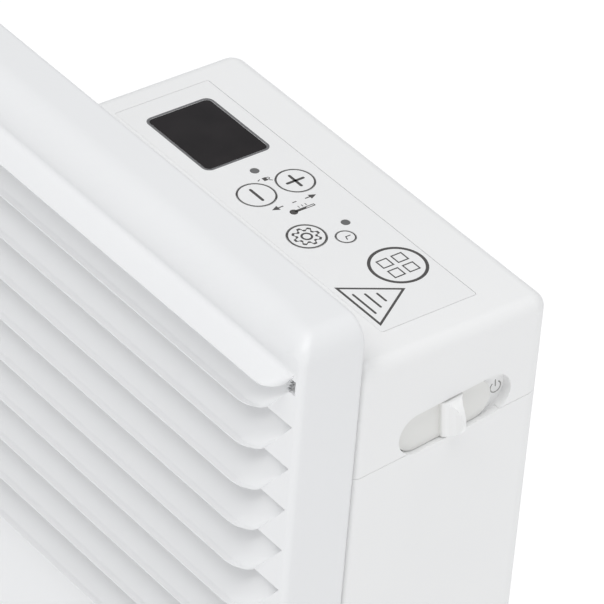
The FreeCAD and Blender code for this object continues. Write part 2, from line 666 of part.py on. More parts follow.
def indicator_leds():
    chips = []
    for dx, dy in LEDS:
        x, y = LABEL_X + dx, LABEL_Y + dy
        chips.append(block(x - 1.6, x + 1.6, y - 1, y + 1, BOARD_TOP, BOARD_TOP + 1.4))
    return chips


def control_board():
    x0, x1 = LABEL_X - 128.0, LABEL_X - 0.5
    board = block(x0, x1, LABEL_Y - 36.0, LABEL_Y + 7.5, BOARD_TOP - BOARD, BOARD_TOP)
    for x, y in POSTS:
        board = board.cut(rod(x, y, BOARD_TOP - 3, 1.6, 5.0, UP))
    return board


def board_screws():
    z = BOARD_TOP - BOARD
    return [screw(x, y, z, UP, head=2.7, head_height=1.6, shank=1.35, length=8.0) for x, y in POSTS]


# ---- power slide switch -------------------------------------------------------------------
PLATE_LENGTH = SLOT_LENGTH - SLIDER_TRAVEL - 2 * SLIDER_GAP
SLIDER_SHIFT = -SLIDER_TRAVEL / 2  # the slider rests at the front end of its slot


def local_stadium(length, height, x0, x1, shift):
    half, radius = length / 2 - height / 2, height / 2
    bar = block(x0, x1, shift - half, shift + half, -radius, radius)
    ends = [rod(x0, shift + side * half, 0, radius, x1 - x0, EAST) for side in (-1, 1)]
    return fuse([bar] + ends)


def power_slider():
    """Slide plate with a hollow-sided half-moon ridge across it and a stem to the switch inside."""
    face = X_BOX1 - SLIDER_SINK
    back = face - SLIDER_PLATE
    root = X_BOX1 - 0.4
    plate = local_stadium(PLATE_LENGTH, SLOT_HEIGHT - 2 * SLIDER_GAP, back, face, SLIDER_SHIFT)
    plan = [(-1.6, -1.9), (0.0, -1.6), (1.5, -0.1), (3.4, 1.0), (5.9, 1.8), (5.9, 2.7)]
    plan += [(3.4, 3.5), (1.5, 4.6), (0.0, 6.1), (-1.6, 6.4)]
    wire = Part.makePolygon([V(root + x, SLIDER_SHIFT + y, -GRIP_RADIUS) for x, y in plan + plan[:1]])
    ridge = Part.Face(wire).extrude(V(0, 0, 2 * GRIP_RADIUS))
    disc = rod(root - 0.5, SLIDER_SHIFT - 6, 0, GRIP_RADIUS, 20, REAR)
    grip = ridge.common(disc)
    stem = block(X_BOX1 - 8.4, back, SLIDER_SHIFT - 2.0, SLIDER_SHIFT + 2.0, -2.5, 2.5)
    return place_on_side(fuse([plate, grip, stem]))


def switch_tray():
    """Dished seat behind the slot, with a gap in its floor for the slider's stem."""
    wall = X_BOX1 - PLASTIC
    outer = local_stadium(SLOT_LENGTH + 4.5, SLOT_HEIGHT + 4.5, X_BOX1 - SLOT_DEPTH - 1.4, wall, 0)
    well = local_stadium(SLOT_LENGTH, SLOT_HEIGHT, X_BOX1 - SLOT_DEPTH, wall + 1, 0)
    gap = block(X_BOX1 - SLOT_DEPTH - 3, wall, -2.6 - SLIDER_TRAVEL / 2, 2.6 + SLIDER_TRAVEL / 2, -3.1, 3.1)
    return place_on_side(outer.cut(well).cut(gap))


def slide_switch_body():
    """The switch itself, behind the tray, with the trough that the stem runs in."""
    x1 = X_BOX1 - SLOT_DEPTH - 1.4
    can = block(x1 - 15.0, x1, -16.0, 16.0, -7.0, 7.0)
    trough = block(x1 - 4.0, x1 + 1, -2.6 - SLIDER_TRAVEL / 2, 2.6 + SLIDER_TRAVEL / 2, -3.1, 3.1)
    can = can.cut(trough)
    blades = [block(x1 - 23.0, x1 - 15.0, s * 8 - 3, s * 8 + 3, -0.4, 0.4) for s in (-1, 0, 1)]
    return place_on_side(fuse([can] + blades))


# ---- electrics in the lower housing -------------------------------------------------------
POWER_X = X_BOX0 + 16.0


def power_board():
    return block(POWER_X, POWER_X + 1.6, -74.0, -18.0, -34.0, 48.0)


def relay():
    return block(POWER_X + 1.6, POWER_X + 17.6, -70.0, -51.0, 6.0, 35.0)


def power_capacitor():
    can = rod(POWER_X + 1.6, -34.0, 30.0, 6.5, 16.0, EAST)
    film = block(POWER_X + 1.6, POWER_X + 10.0, -44.0, -24.0, -2.0, 14.0)
    return [can, film]


def board_terminals():
    row = block(POWER_X + 1.6, POWER_X + 12.0, -72.0, -42.0, -32.0, -22.0)
    for k in range(3):
        row = row.cut(rod(POWER_X + 13.0, -67.0 + 10.0 * k, -27.0, 2.2, 6.0, EAST * -1))
    return row


def board_brackets():
    """Rails on the housing's left wall that hold the power board's edges."""
    rails = []
    for z in (-30.0, 40.0):
        rail = block(X_BOX0 + PLASTIC, POWER_X, -48.0, -40.0, z, z + 6.0)
        rails.append(rail)
    return rails


def terminal_block():
    x0 = X_BOX1 - 66.0
    body = block(x0, x0 + 36.0, -28.0, -14.2, -70.0, -48.0)
    for k in range(3):
        body = body.cut(rod(x0 + 7.0 + 11.0 * k, -29.0, -64.0, 2.4, 10.0, REAR))
        body = body.cut(rod(x0 + 7.0 + 11.0 * k, -21.0, -71.0, 2.6, 12.0, UP))
    return body


def terminal_screws():
    x0 = X_BOX1 - 66.0
    return [
        screw(x0 + 7.0 + 11.0 * k, -24.5, -64.0, REAR, head=2.2, head_height=1.6, shank=1.2, length=3.0)
        for k in range(3)
    ]


def room_sensor():
    """Temperature sensor behind the slots in the side of the housing."""
    wall = X_BOX1 - PLASTIC
    holder = block(wall - 8.0, wall, SENSOR_Y - 14.0, SENSOR_Y - 11.0, SENSOR_Z - 8, SENSOR_Z + 8)
    arm = block(wall - 8.0, wall - 6.0, SENSOR_Y - 11.0, SENSOR_Y + 2.0, SENSOR_Z - 3, SENSOR_Z + 3)
    bead = rod(wall - 6.0, SENSOR_Y, SENSOR_Z, 2.0, 4.5, EAST)
    return fuse([holder, arm, bead])


PIN_TIP = ELEMENT_X + ELEMENT_LENGTH / 2 + ROD_REACH + 9.0


def right_lead():
    """Wire from the element's near end, through the grommet, to the power board."""
    return tube(
        [
            (PIN_TIP + 0.2, ELEMENT_Y, ELEMENT_Z), (PIN_TIP + 9.0, ELEMENT_Y, ELEMENT_Z),
            (X_BODY1 + 20.0, ELEMENT_Y + 1.0, ELEMENT_Z + 1.0), (X_BODY1 + 38.0, ELEMENT_Y - 2.0, -42.0),
            (X_BODY1 + 41.0, ELEMENT_Y - 1.0, -28.0), (POWER_X + 12.5, ELEMENT_Y - 1.0, -27.0),
        ],
        1.5,
    )


def left_lead():
    """Wire along the floor from the element's far end to the grommet and the power board."""
    far = ELEMENT_X - ELEMENT_LENGTH / 2 - ROD_REACH - 9.2
    y, z = -84.0, -100.0
    points = [
        (far, ELEMENT_Y, ELEMENT_Z), (far - 9.0, ELEMENT_Y - 2.0, ELEMENT_Z - 2.0),
        (far - 14.0, ELEMENT_Y - 10.0, ELEMENT_Z - 18.0), (far - 10.0, y + 4.0, z + 16.0),
        (far + 8.0, y, z),
    ]
    start, stop, runs = far + 8.0, X_BODY1 - 40.0, 12
    for k in range(1, runs):
        sway = (1.2 if k % 2 else -1.0, 0.8 if k % 3 else -0.8)
        points.append((start + (stop - start) * k / runs, y + sway[0], z + sway[1]))
    points += [
        (stop, y, z), (X_BODY1 - 22.0, y + 8.0, z + 14.0), (X_BODY1 - 18.0, ELEMENT_Y - 6.0, ELEMENT_Z - 8.0),
        (X_BODY1 - 11.0, ELEMENT_Y - 3.2, ELEMENT_Z - 1.5), (X_BODY1 + 4.0, ELEMENT_Y - 3.2, ELEMENT_Z),
        (X_BODY1 + 26.0, ELEMENT_Y - 9.5, ELEMENT_Z + 6.0), (X_BODY1 + 32.0, ELEMENT_Y - 11.0, -28.0),
        (POWER_X + 12.5, ELEMENT_Y - 11.0, -27.0),
    ]
    return tube(points, 1.5)


def earth_lead():
    """Green and yellow wire from the terminal block to the earth screw on the housing's floor."""
    x0 = X_BOX1 - 66.0
    return tube(
        [
            (x0 + 29.0, -21.0, -69.5), (x0 + 29.0, -21.5, -80.0), (x0 + 18.0, -24.0, -92.0),
            (x0 - 2.0, -27.0, -100.0), (x0 - 20.0, -28.0, -108.5),
        ],
        1.3,
    )


# ---- wall bracket -------------------------------------------------------------------------
def hook_places():
    half = UPRIGHT_WIDTH / 2 - BRACKET / 2
    return [side * HOLE_SPACING_X / 2 + edge * half for side in (-1, 1) for edge in (-1, 1)]


def wall_bracket():
    """Two channels joined by two bars, with a hook at the foot of each channel's flanges."""
    low, high = -UPRIGHT_HEIGHT / 2, UPRIGHT_HEIGHT / 2
    front = -CHANNEL_DEPTH
    pieces = []
    for side in (-1, 1):
        x = side * HOLE_SPACING_X / 2
        pieces.append(block(x - UPRIGHT_WIDTH / 2, x + UPRIGHT_WIDTH / 2, -BRACKET, 0, low, high))
    for x in hook_places():
        flange = block(x - BRACKET / 2, x + BRACKET / 2, front, 0, low, 20.0)
        hook = outline_x(
            [
                (front + 0.1, HOOK_Z - 4.0), (front - 6.0, HOOK_Z - 4.0), (front - 6.0, HOOK_Z + 10.0),
                (front - 2.4, HOOK_Z + 10.0), (front - 2.4, HOOK_Z + 3.0), (front + 0.1, HOOK_Z + 3.0),
            ],
            x - BRACKET / 2, x + BRACKET / 2,
        )
        pieces += [flange, hook]
    for z in (-HOLE_SPACING_Z / 2 - 8.0, HOLE_SPACING_Z / 2 - 8.0):
        pieces.append(block(-HOLE_SPACING_X / 2, HOLE_SPACING_X / 2, -BRACKET, 0, z, z + 16.0))
    frame = fuse(pieces)
    for sx in (-1, 1):
        for sz in (-1, 1):
            frame = frame.cut(wall_slot(sx * HOLE_SPACING_X / 2, sz * HOLE_SPACING_Z / 2))
    return frame


def wall_slot(x, z):
    half = SLOT_HOLE / 2 - HOLE_RADIUS
    bar = block(x - half, x + half, -BRACKET - 1, 1, z - HOLE_RADIUS, z + HOLE_RADIUS)
    ends = [rod(x + s * half, -BRACKET - 1, z, HOLE_RADIUS, BRACKET + 2, REAR) for s in (-1, 1)]
    return fuse([bar] + ends)


def latch(side):
    """Sliding catch in the top of a channel: its headed peg drops into the plate's keyhole."""
    x = side * HOLE_SPACING_X / 2
    clear = 0.35
    inner = UPRIGHT_WIDTH / 2 - BRACKET - clear
    body = block(x - inner, x + inner, -7.0, -BRACKET - clear, LATCH_Z - 12.0, LATCH_Z + 10.0)
    grip = block(x - inner, x + inner, -10.5, -BRACKET - clear, LATCH_Z + 7.0, LATCH_Z + 10.0)
    neck = block(x - 2.2, x + 2.2, Y_BACK - 2.2, -6.0, LATCH_Z - 3.6, LATCH_Z + 0.4)
    head = block(x - 5.0, x + 5.0, Y_BACK - 5.0, Y_BACK - 1.6, LATCH_Z - 3.6, LATCH_Z + 0.4)
    return fuse([body, grip, neck, head])


def wall_spacers():
    """Two soft pads that keep the foot of the heater off the wall."""
    return [rod(s * 330.0 - 20.0, Y_BACK, -92.0, 8.0, WALL_GAP, REAR) for s in (-1, 1)]


# ---- write every piece --------------------------------------------------------------------
def main():
    save("front_panel", front_panel())
    save("panel_screws", panel_screws())
    save("back_plate", back_plate())
    save("left_end_plate", left_end_plate())
    save("partition_plate", partition_plate())
    save("grommet", grommet())
    save("heat_shield", heat_shield())
    save("shield_screws", shield_screws())
    save("heating_element", heating_element())
    save("element_rod", element_rod())
    save("element_bushes", element_bushes())
    places = holder_places()
    save("element_holder_left", element_holder(places[0]))
    save("element_holder_right", element_holder(places[1]))
    save("thermal_cutout", thermal_cutout())
    save("control_cap", control_cap())
    save("cap_screws", cap_screws())
    save("housing_base", housing_base())
    save("cord_bushing", cord_bushing())
    save("cord_clamp", cord_clamp())
    save("clamp_base", clamp_base())
    save("clamp_screws", clamp_screws())
    save("label_foil", label_foil())
    save("display_window", display_window())
    save("display_module", display_module())
    for name in KEYS:
        save(name, key(name))
    save("tact_switches", tact_switches())
    save("light_pipes", light_pipes())
    save("indicator_leds", indicator_leds())
    save("control_board", control_board())
    save("board_screws", board_screws())
    save("power_slider", power_slider())
    save("switch_tray", switch_tray())
    save("slide_switch_body", slide_switch_body())
    save("power_board", power_board())
    save("relay", relay())
    save("power_capacitors", power_capacitor())
    save("board_terminals", board_terminals())
    save("board_brackets", board_brackets())
    save("terminal_block", terminal_block())
    save("terminal_screws", terminal_screws())
    save("room_sensor", room_sensor())
    save("element_lead_right", right_lead())
    save("element_lead_left", left_lead())
    save("earth_lead", earth_lead())
    save("wall_bracket", wall_bracket(), rise=0)
    save("bracket_latch_left", latch(-1), rise=0)
    save("bracket_latch_right", latch(1), rise=0)
    save("wall_spacers", wall_spacers())


main()
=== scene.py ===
"""Low wall-hung convector: finishes, printed label, pressed front panel, lights and camera."""
import json
import math
import bmesh
import bpy
from mathutils import Matrix, Vector

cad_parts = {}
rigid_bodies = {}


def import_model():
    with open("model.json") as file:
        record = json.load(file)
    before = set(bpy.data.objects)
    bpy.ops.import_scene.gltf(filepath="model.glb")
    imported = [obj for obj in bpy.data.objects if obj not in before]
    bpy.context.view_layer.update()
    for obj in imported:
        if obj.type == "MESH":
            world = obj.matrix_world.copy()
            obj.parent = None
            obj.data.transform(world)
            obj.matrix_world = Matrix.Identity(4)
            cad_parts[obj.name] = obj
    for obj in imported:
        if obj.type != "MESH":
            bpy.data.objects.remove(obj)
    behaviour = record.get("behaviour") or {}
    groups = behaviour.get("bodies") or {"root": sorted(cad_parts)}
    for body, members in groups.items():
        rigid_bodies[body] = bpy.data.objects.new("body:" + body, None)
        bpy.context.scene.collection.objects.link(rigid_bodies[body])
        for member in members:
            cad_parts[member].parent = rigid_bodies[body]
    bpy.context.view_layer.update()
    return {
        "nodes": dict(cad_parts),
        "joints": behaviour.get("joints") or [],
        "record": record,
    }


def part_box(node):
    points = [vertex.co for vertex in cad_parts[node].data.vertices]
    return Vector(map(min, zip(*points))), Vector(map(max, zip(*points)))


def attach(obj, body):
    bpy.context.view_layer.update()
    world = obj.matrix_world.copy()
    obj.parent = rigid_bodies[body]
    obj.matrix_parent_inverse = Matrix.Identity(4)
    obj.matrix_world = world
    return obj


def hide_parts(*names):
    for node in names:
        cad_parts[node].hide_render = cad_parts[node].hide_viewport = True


for leftover in list(bpy.data.objects):
    bpy.data.objects.remove(leftover)

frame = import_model()
MM = 0.001


# ---- shader and geometry maths --------------------------------------------------------------
class Wire:
    """One output socket; the operators add Math nodes to its tree."""

    def __init__(self, kit, socket):
        self.kit, self.socket = kit, socket

    def _math(self, operation, *values):
        return self.kit.node("ShaderNodeMath", {"operation": operation}, *values)

    def __add__(self, other):
        return self._math("ADD", self, other)

    def __sub__(self, other):
        return self._math("SUBTRACT", self, other)

    def __rsub__(self, other):
        return self._math("SUBTRACT", other, self)

    def __mul__(self, other):
        return self._math("MULTIPLY", self, other)

    def __truediv__(self, other):
        return self._math("DIVIDE", self, other)

    def __rtruediv__(self, other):
        return self._math("DIVIDE", other, self)

    def __gt__(self, other):
        return self._math("GREATER_THAN", self, other)

    def __lt__(self, other):
        return self._math("LESS_THAN", self, other)

    def __pow__(self, other):
        return self._math("POWER", self, other)

    def __rpow__(self, other):
        return self._math("POWER", other, self)

    __radd__ = __add__
    __rmul__ = __mul__

    def low(self, other):
        return self._math("MINIMUM", self, other)

    def high(self, other):
        return self._math("MAXIMUM", self, other)

    def size(self):
        return self._math("ABSOLUTE", self)

    def sign(self):
        return self._math("SIGN", self)

    def sine(self):
        return self._math("SINE", self)

    def cosine(self):
        return self._math("COSINE", self)

    def part(self):
        return self._math("FRACT", self)


class Kit:
    """Adds nodes to one tree: a type, its settings, then values or links by place or by name."""

    def __init__(self, tree):
        self.tree = tree

    def node(self, kind, settings=None, *values, out=0, **named):
        made = self.tree.nodes.new(kind)
        for key, value in (settings or {}).items():
            setattr(made, key, value)
        sockets = list(zip(made.inputs, values))
        sockets += [(made.inputs[key.replace("_", " ")], value) for key, value in named.items()]
        for socket, value in sockets:
            if isinstance(value, Wire):
                self.tree.links.new(value.socket, socket)
            elif value is not None:
                socket.default_value = value
        return Wire(self, made.outputs[out]) if made.outputs else made


class Finish(Kit):
    """A material under construction; everything varies over Object coordinates."""

    def __init__(self, name, **uniform):
        self.material = bpy.data.materials.new(name)
        self.material.use_nodes = True
        super().__init__(self.material.node_tree)
        self.shader = self.tree.nodes["Principled BSDF"]
        for key, value in uniform.items():
            self.shader.inputs[key.replace("_", " ")].default_value = value
        self.where = self.node("ShaderNodeTexCoord", None, out=3)

    def noise(self, scale, detail=2.0, roughness=0.5, stretch=None):
        place = self.where
        if stretch:
            place = self.node("ShaderNodeMapping", None, Vector=place, Scale=stretch)
        return self.node(
            "ShaderNodeTexNoise", None, Vector=place, Scale=scale, Detail=detail, Roughness=roughness
        )

    def blend(self, fac, first, second):
        mixed = self.node("ShaderNodeMix", {"data_type": "RGBA"}, out=2)
        made = mixed.socket.node
        for socket, value in ((made.inputs[0], fac), (made.inputs[6], first), (made.inputs[7], second)):
            if isinstance(value, Wire):
                self.tree.links.new(value.socket, socket)
            else:
                socket.default_value = value if not isinstance(value, tuple) else (*value, 1)
        return mixed

    def span(self, value, low, high, new_low, new_high):
        return self.node("ShaderNodeMapRange", None, value, low, high, new_low, new_high)

    def spread(self, value, new_low=0.0, new_high=1.0):
        """The usual middle part of a noise, stretched over a range."""
        return self.span(value, 0.3, 0.7, new_low, new_high)

    def bump(self, height, strength, distance):
        return self.node("ShaderNodeBump", None, Strength=strength, Distance=distance, Height=height)

    def wear(self, **links):
        for key, value in links.items():
            self.tree.links.new(value.socket, self.shader.inputs[key.replace("_", " ")])
        return self.material


def powder_coat(name, colour, deep, rough=0.36):
    """Baked powder coat: fine orange peel under a soft gloss."""
    kit = Finish(name, Specular_IOR_Level=0.45, IOR=1.5)
    cloud = kit.noise(9.0, 3.0)
    peel = kit.noise(1500.0, 2.0, 0.4)
    waves = kit.noise(420.0, 2.0, 0.5)
    base = kit.blend(kit.spread(cloud), deep, colour)
    sheen = kit.spread(waves, rough - 0.05, rough + 0.06)
    return kit.wear(
        Base_Color=base,
        Roughness=sheen,
        Normal=kit.bump(peel * 0.6 + waves * 0.4, 0.10, 0.0002),
    )


def moulded(name, colour, deep, rough=0.45, grain=2600.0, strength=0.12, coat=0.0):
    """Moulded plastic with a fine spark-eroded texture."""
    kit = Finish(name, Specular_IOR_Level=0.5, IOR=1.46, Coat_Weight=coat)
    cloud = kit.noise(14.0, 3.0)
    fine = kit.noise(grain, 2.0, 0.6)
    flow = kit.noise(60.0, 2.0, 0.5, stretch=(1.0, 1.0, 0.35))
    base = kit.blend(kit.spread(cloud), deep, colour)
    sheen = kit.spread(flow, rough - 0.05, rough + 0.05)
    return kit.wear(Base_Color=base, Roughness=sheen, Normal=kit.bump(fine, strength, 0.00012))


def zinc_sheet(name, bright, dull, rough=0.38):
    """Galvanised sheet: large crystals, each with its own tone and shine."""
    kit = Finish(name, Metallic=1.0)
    crystal = kit.node("ShaderNodeTexVoronoi", None, Vector=kit.where, Scale=150.0, out=1)
    tone = kit.node("ShaderNodeSeparateColor", None, crystal)
    grime = kit.noise(30.0, 4.0, 0.6)
    base = kit.blend(kit.span(tone * 0.7 + grime * 0.3, 0.2, 0.8, 0.0, 1.0), dull, bright)
    sheen = kit.span(tone, 0.0, 1.0, rough - 0.08, rough + 0.12)
    return kit.wear(
        Base_Color=base,
        Roughness=sheen,
        Normal=kit.bump(tone * 0.5 + grime * 0.5, 0.08, 0.0002),
    )


def drawn_metal(name, bright, dull, stretch, rough=0.28):
    """Rolled or extruded metal with fine lines along its length."""
    kit = Finish(name, Metallic=1.0)
    lines = kit.noise(900.0, 3.0, 0.6, stretch=stretch)
    cloud = kit.noise(22.0, 3.0)
    base = kit.blend(kit.spread(lines * 0.6 + cloud * 0.4), dull, bright)
    sheen = kit.spread(cloud, rough - 0.06, rough + 0.1)
    return kit.wear(Base_Color=base, Roughness=sheen, Normal=kit.bump(lines, 0.15, 0.0001))


def fired_ceramic():
    kit = Finish("steatite", Specular_IOR_Level=0.5)
    speck = kit.noise(1100.0, 3.0, 0.7)
    cloud = kit.noise(120.0, 2.0)
    base = kit.blend(kit.span(speck, 0.45, 0.7, 0.0, 1.0), (0.80, 0.77, 0.70), (0.68, 0.64, 0.56))
    return kit.wear(
        Base_Color=base,
        Roughness=kit.spread(cloud, 0.55, 0.72),
        Normal=kit.bump(speck, 0.2, 0.0002),
    )


def board_laminate():
    """Green solder mask with copper tracks showing through, on a woven laminate."""
    kit = Finish("board_laminate", Specular_IOR_Level=0.5, Coat_Weight=0.3)
    weave = kit.noise(1800.0, 2.0)
    axes = kit.node("ShaderNodeSeparateXYZ", None, kit.where)
    across = Wire(kit, axes.socket.node.outputs[1])
    tracks = kit.noise(70.0, 0.0, stretch=(0.25, 1.0, 0.25))
    lanes = ((across * 420.0).part() > 0.62) * (tracks > 0.48)
    base = kit.blend(kit.spread(weave), (0.012, 0.10, 0.045), (0.02, 0.15, 0.07))
    base = kit.blend(lanes * 0.7, base, (0.05, 0.26, 0.10))
    return kit.wear(
        Base_Color=base,
        Roughness=kit.spread(weave, 0.3, 0.42),
        Normal=kit.bump(lanes + weave * 0.1, 0.3, 0.0001),
    )


def display_glass():
    """Smoked window over a dark display."""
    kit = Finish("smoked_window", Specular_IOR_Level=0.3, IOR=1.45, Coat_Weight=0.12, Coat_Roughness=0.1)
    cloud = kit.noise(90.0, 3.0)
    base = kit.blend(kit.spread(cloud), (0.007, 0.005, 0.006), (0.014, 0.011, 0.012))
    return kit.wear(Base_Color=base, Roughness=kit.spread(cloud, 0.18, 0.26))


def wire_cover(name, colour, stripe=None):
    kit = Finish(name, Specular_IOR_Level=0.4)
    fine = kit.noise(700.0, 3.0, 0.6)
    base = kit.blend(kit.spread(fine), colour, tuple(c * 0.86 for c in colour))
    if stripe:
        axes = kit.node("ShaderNodeSeparateXYZ", None, kit.where)
        along = axes + Wire(kit, axes.socket.node.outputs[2])
        base = kit.blend((along * 160.0).part() > 0.5, base, stripe)
    return kit.wear(
        Base_Color=base,
        Roughness=kit.spread(fine, 0.5, 0.65),
        Normal=kit.bump(fine, 0.15, 0.0001),
    )


def soft_rubber():
    kit = Finish("soft_rubber", Specular_IOR_Level=0.35)
    fine = kit.noise(900.0, 4.0, 0.7)
    base = kit.blend(kit.spread(fine), (0.045, 0.045, 0.047), (0.07, 0.07, 0.072))
    return kit.wear(
        Base_Color=base,
        Roughness=kit.spread(fine, 0.62, 0.8),
        Normal=kit.bump(fine, 0.3, 0.0002),
    )


def printing_ink(name, colour):
    kit = Finish(name, Specular_IOR_Level=0.4)
    fine = kit.noise(1600.0, 2.0)
    base = kit.blend(kit.span(fine, 0.35, 0.65, 0.0, 1.0), colour, tuple(c * 1.25 for c in colour))
    return kit.wear(Base_Color=base, Roughness=kit.spread(fine, 0.5, 0.62))


def slider_plastic(reach):
    """Warm white plate whose ridge, near its outermost reach, is painted a cleaner white as a painted
    highlight where the grip catches the light.
    """
    kit = Finish("slider_plastic", Specular_IOR_Level=0.5, IOR=1.46)
    outward = kit.node("ShaderNodeSeparateXYZ", None, kit.where)
    cloud = kit.noise(60.0, 3.0)
    # painted highlight: the outermost part of the grip's ridge is blended to a brighter white where it
    # catches the light
    ridge_highlight = kit.span(outward, reach - 6.6 * MM, reach - 5.0 * MM, 0.0, 1.0)
    warm = kit.blend(kit.spread(cloud), (0.80, 0.797, 0.775), (0.82, 0.818, 0.795))
    base = kit.blend(ridge_highlight, warm, (0.92, 0.92, 0.915))
    fine = kit.noise(2400.0, 2.0)
    return kit.wear(
        Base_Color=base,
        Roughness=kit.spread(cloud, 0.28, 0.36),
        Normal=kit.bump(fine, 0.1, 0.0001),
    )


FINISHES = {
    "painted_steel": powder_coat("white_powder_coat", (0.885, 0.888, 0.893), (0.868, 0.872, 0.878)),
    "galvanised_steel": zinc_sheet("zinc_sheet", (0.62, 0.64, 0.66), (0.50, 0.52, 0.54)),
    "bright_steel": drawn_metal(
        "bright_sheet", (0.80, 0.80, 0.79), (0.66, 0.66, 0.66), (0.03, 1.0, 1.0), 0.2
    ),
    "element_aluminium": drawn_metal(
        "extruded_aluminium", (0.62, 0.63, 0.64), (0.50, 0.51, 0.53), (0.02, 1.0, 1.0), 0.34
    ),
    "ceramic": fired_ceramic(),
    "white_plastic": moulded("white_housing_plastic", (0.925, 0.925, 0.922), (0.91, 0.91, 0.907)),
    "label_film": moulded("label_film", (0.905, 0.905, 0.902), (0.89, 0.891, 0.89), 0.5, 1800.0, 0.08),
    "display_glass": display_glass(),
    "clear_plastic": moulded(
        "smoked_light_pipe", (0.17, 0.17, 0.17), (0.13, 0.13, 0.13), 0.25, 900.0, 0.05, 0.3
    ),
    "circuit_board": board_laminate(),
    "black_plastic": moulded("black_plastic", (0.030, 0.030, 0.032), (0.022, 0.022, 0.024), 0.5),
    "component_plastic": moulded(
        "blue_component", (0.035, 0.085, 0.22), (0.025, 0.065, 0.18), 0.32, 1500.0, 0.1, 0.3
    ),
    "wire_white": wire_cover("glass_braid", (0.70, 0.69, 0.66)),
    "wire_earth": wire_cover("earth_sleeve", (0.08, 0.34, 0.06), (0.75, 0.62, 0.04)),
    "rubber_grey": soft_rubber(),
}
INK = printing_ink("grey_ink", (0.075, 0.072, 0.070))
BORDER_INK = printing_ink("display_border_ink", (0.15, 0.15, 0.155))
FAINT_INK = printing_ink("faint_grey_ink", (0.30, 0.295, 0.285))

slots = {entry["node"]: entry["material_slot"] for entry in frame["record"]["subparts"]}
for name, piece in frame["nodes"].items():
    piece.data.materials.clear()
    piece.data.materials.append(FINISHES[slots[name]])
slider = frame["nodes"]["power_slider"]
slider.data.materials[0] = slider_plastic(max(corner.co.x for corner in slider.data.vertices))


# ---- pieces -----------------------------------------------------------------------------------
def settle(name, mesh, body, slot, *nodes):
    """Places a finished mesh as a piece, riding on its body."""
    piece = bpy.data.objects.new(name, mesh)
    bpy.context.collection.objects.link(piece)
    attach(piece, body)
    if nodes:
        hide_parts(*nodes)
    return piece


def frozen(name, work):
    """The evaluated object as a plain mesh; the working object goes away."""
    bpy.context.view_layer.update()
    graph = bpy.context.evaluated_depsgraph_get()
    mesh = bpy.data.meshes.new_from_object(work.evaluated_get(graph))
    mesh.name = name
    bpy.data.objects.remove(work)
    return mesh


def smooth(mesh, angle=35):
    mesh.polygons.foreach_set("use_smooth", [True] * len(mesh.polygons))
    mesh.set_sharp_from_angle(angle=math.radians(angle))


def work_object(name, bm):
    mesh = bpy.data.meshes.new(name)
    bm.to_mesh(mesh)
    bm.free()
    work = bpy.data.objects.new(name, mesh)
    bpy.context.collection.objects.link(work)
    return work


# ---- pressed front panel ------------------------------------------------------------------------
panel_low, panel_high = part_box("front_panel")
X_END = panel_high.x
Z_TOP, Z_FOOT = panel_high.z, panel_low.z
Y_FOLD = panel_high.y
SLAT_OUT, SLAT_BEHIND = 4.8 * MM, 2.6 * MM
SLAT_SLANT, SLAT_UPPER_RUN, SLAT_LOWER_RUN = 11.4 * MM, 2.0 * MM, 9.0 * MM
HOOD_OUT, HOOD_HEIGHT, HOOD_SLANT = 7.2 * MM, 5.3 * MM, 3.2 * MM
HOOD_UPPER_RUN, HOOD_LOWER_RUN, HOOD_SQUARENESS = 6.0 * MM, 8.0 * MM, 0.72
RELIEF_WIDTH, RELIEF_ABOVE, RELIEF_BELOW, RELIEF_PROUD = 4.0 * MM, 1.0 * MM, 3.4 * MM, 0.35 * MM
Y_FACE = panel_low.y + HOOD_OUT
SHEET, EDGE_SOFTENING = 1.2 * MM, 0.3 * MM
REAR_INSET, REAR_DEPTH = 0.35 * MM, 0.8 * MM  # the small bevel round the rim's rear edge
ROLL, END_ROLL, SIDE_ROLL = 10.0 * MM, 7.6 * MM, 2.2 * MM
CORNER, FOOT_CORNER = 8.0 * MM, 3.4 * MM
EASE_LENGTH = 14.0 * MM  # length of the top edge over which its rolling tightens towards the corner
PITCH = 14.5 * MM
SLATS = 9
X_TIP = X_END - 2.6 * MM
Z_CREASE = Z_TOP - 10.2 * MM
Z_SLIT = Z_TOP - 14.5 * MM
Z_FIELD = Z_SLIT - SLATS * PITCH
# shares of a strip's half length: straight middle, rounded closing, flat tongue at the tip
MIDDLE_SHARE, CLOSING_SHARE, TONGUE_SHARE = 0.3, 0.55, 0.15
# share of the hood's height that rounds over, share of a slat's height that curls out, and how far it curls
ROUND_SHARE, CURL_SHARE, CURL_DEPTH = 0.3, 0.05, 0.13


def panel_outline():
    """Points round the panel's outline, each with its outward direction and its front rolling radius."""
    points = []

    def arc(cx, cz, radius, start, stop, roll_a, roll_b, steps=14):
        for k in range(steps + 1):
            t = k / steps
            a = math.radians(start + (stop - start) * t)
            ease = t * t * (3 - 2 * t)
            way = Vector((math.cos(a), 0, math.sin(a)))
            points.append((Vector((cx, 0, cz)) + way * radius, way, roll_a + (roll_b - roll_a) * ease))

    def top_run(direction):
        """The straight top edge next to a corner, its rolling easing from one radius to the other."""
        for k in range(7):
            t = k / 7 if direction > 0 else 1 - (k + 1) / 7
            ease = t * t * (3 - 2 * t)
            x = direction * (X_END - CORNER - EASE_LENGTH * (1 - t))
            points.append((Vector((x, 0, Z_TOP)), Vector((0, 0, 1)), ROLL + (END_ROLL - ROLL) * ease))

    x_top, z_top = X_END - CORNER, Z_TOP - CORNER
    x_low, z_low = X_END - FOOT_CORNER, Z_FOOT + FOOT_CORNER
    top_run(1)
    arc(x_top, z_top, CORNER, 90, 0, END_ROLL, SIDE_ROLL)
    arc(x_low, z_low, FOOT_CORNER, 0, -90, SIDE_ROLL, SIDE_ROLL, 8)
    arc(-x_low, z_low, FOOT_CORNER, -90, -180, SIDE_ROLL, SIDE_ROLL, 8)
    arc(-x_top, z_top, CORNER, 180, 90, SIDE_ROLL, END_ROLL)
    top_run(-1)
    return points


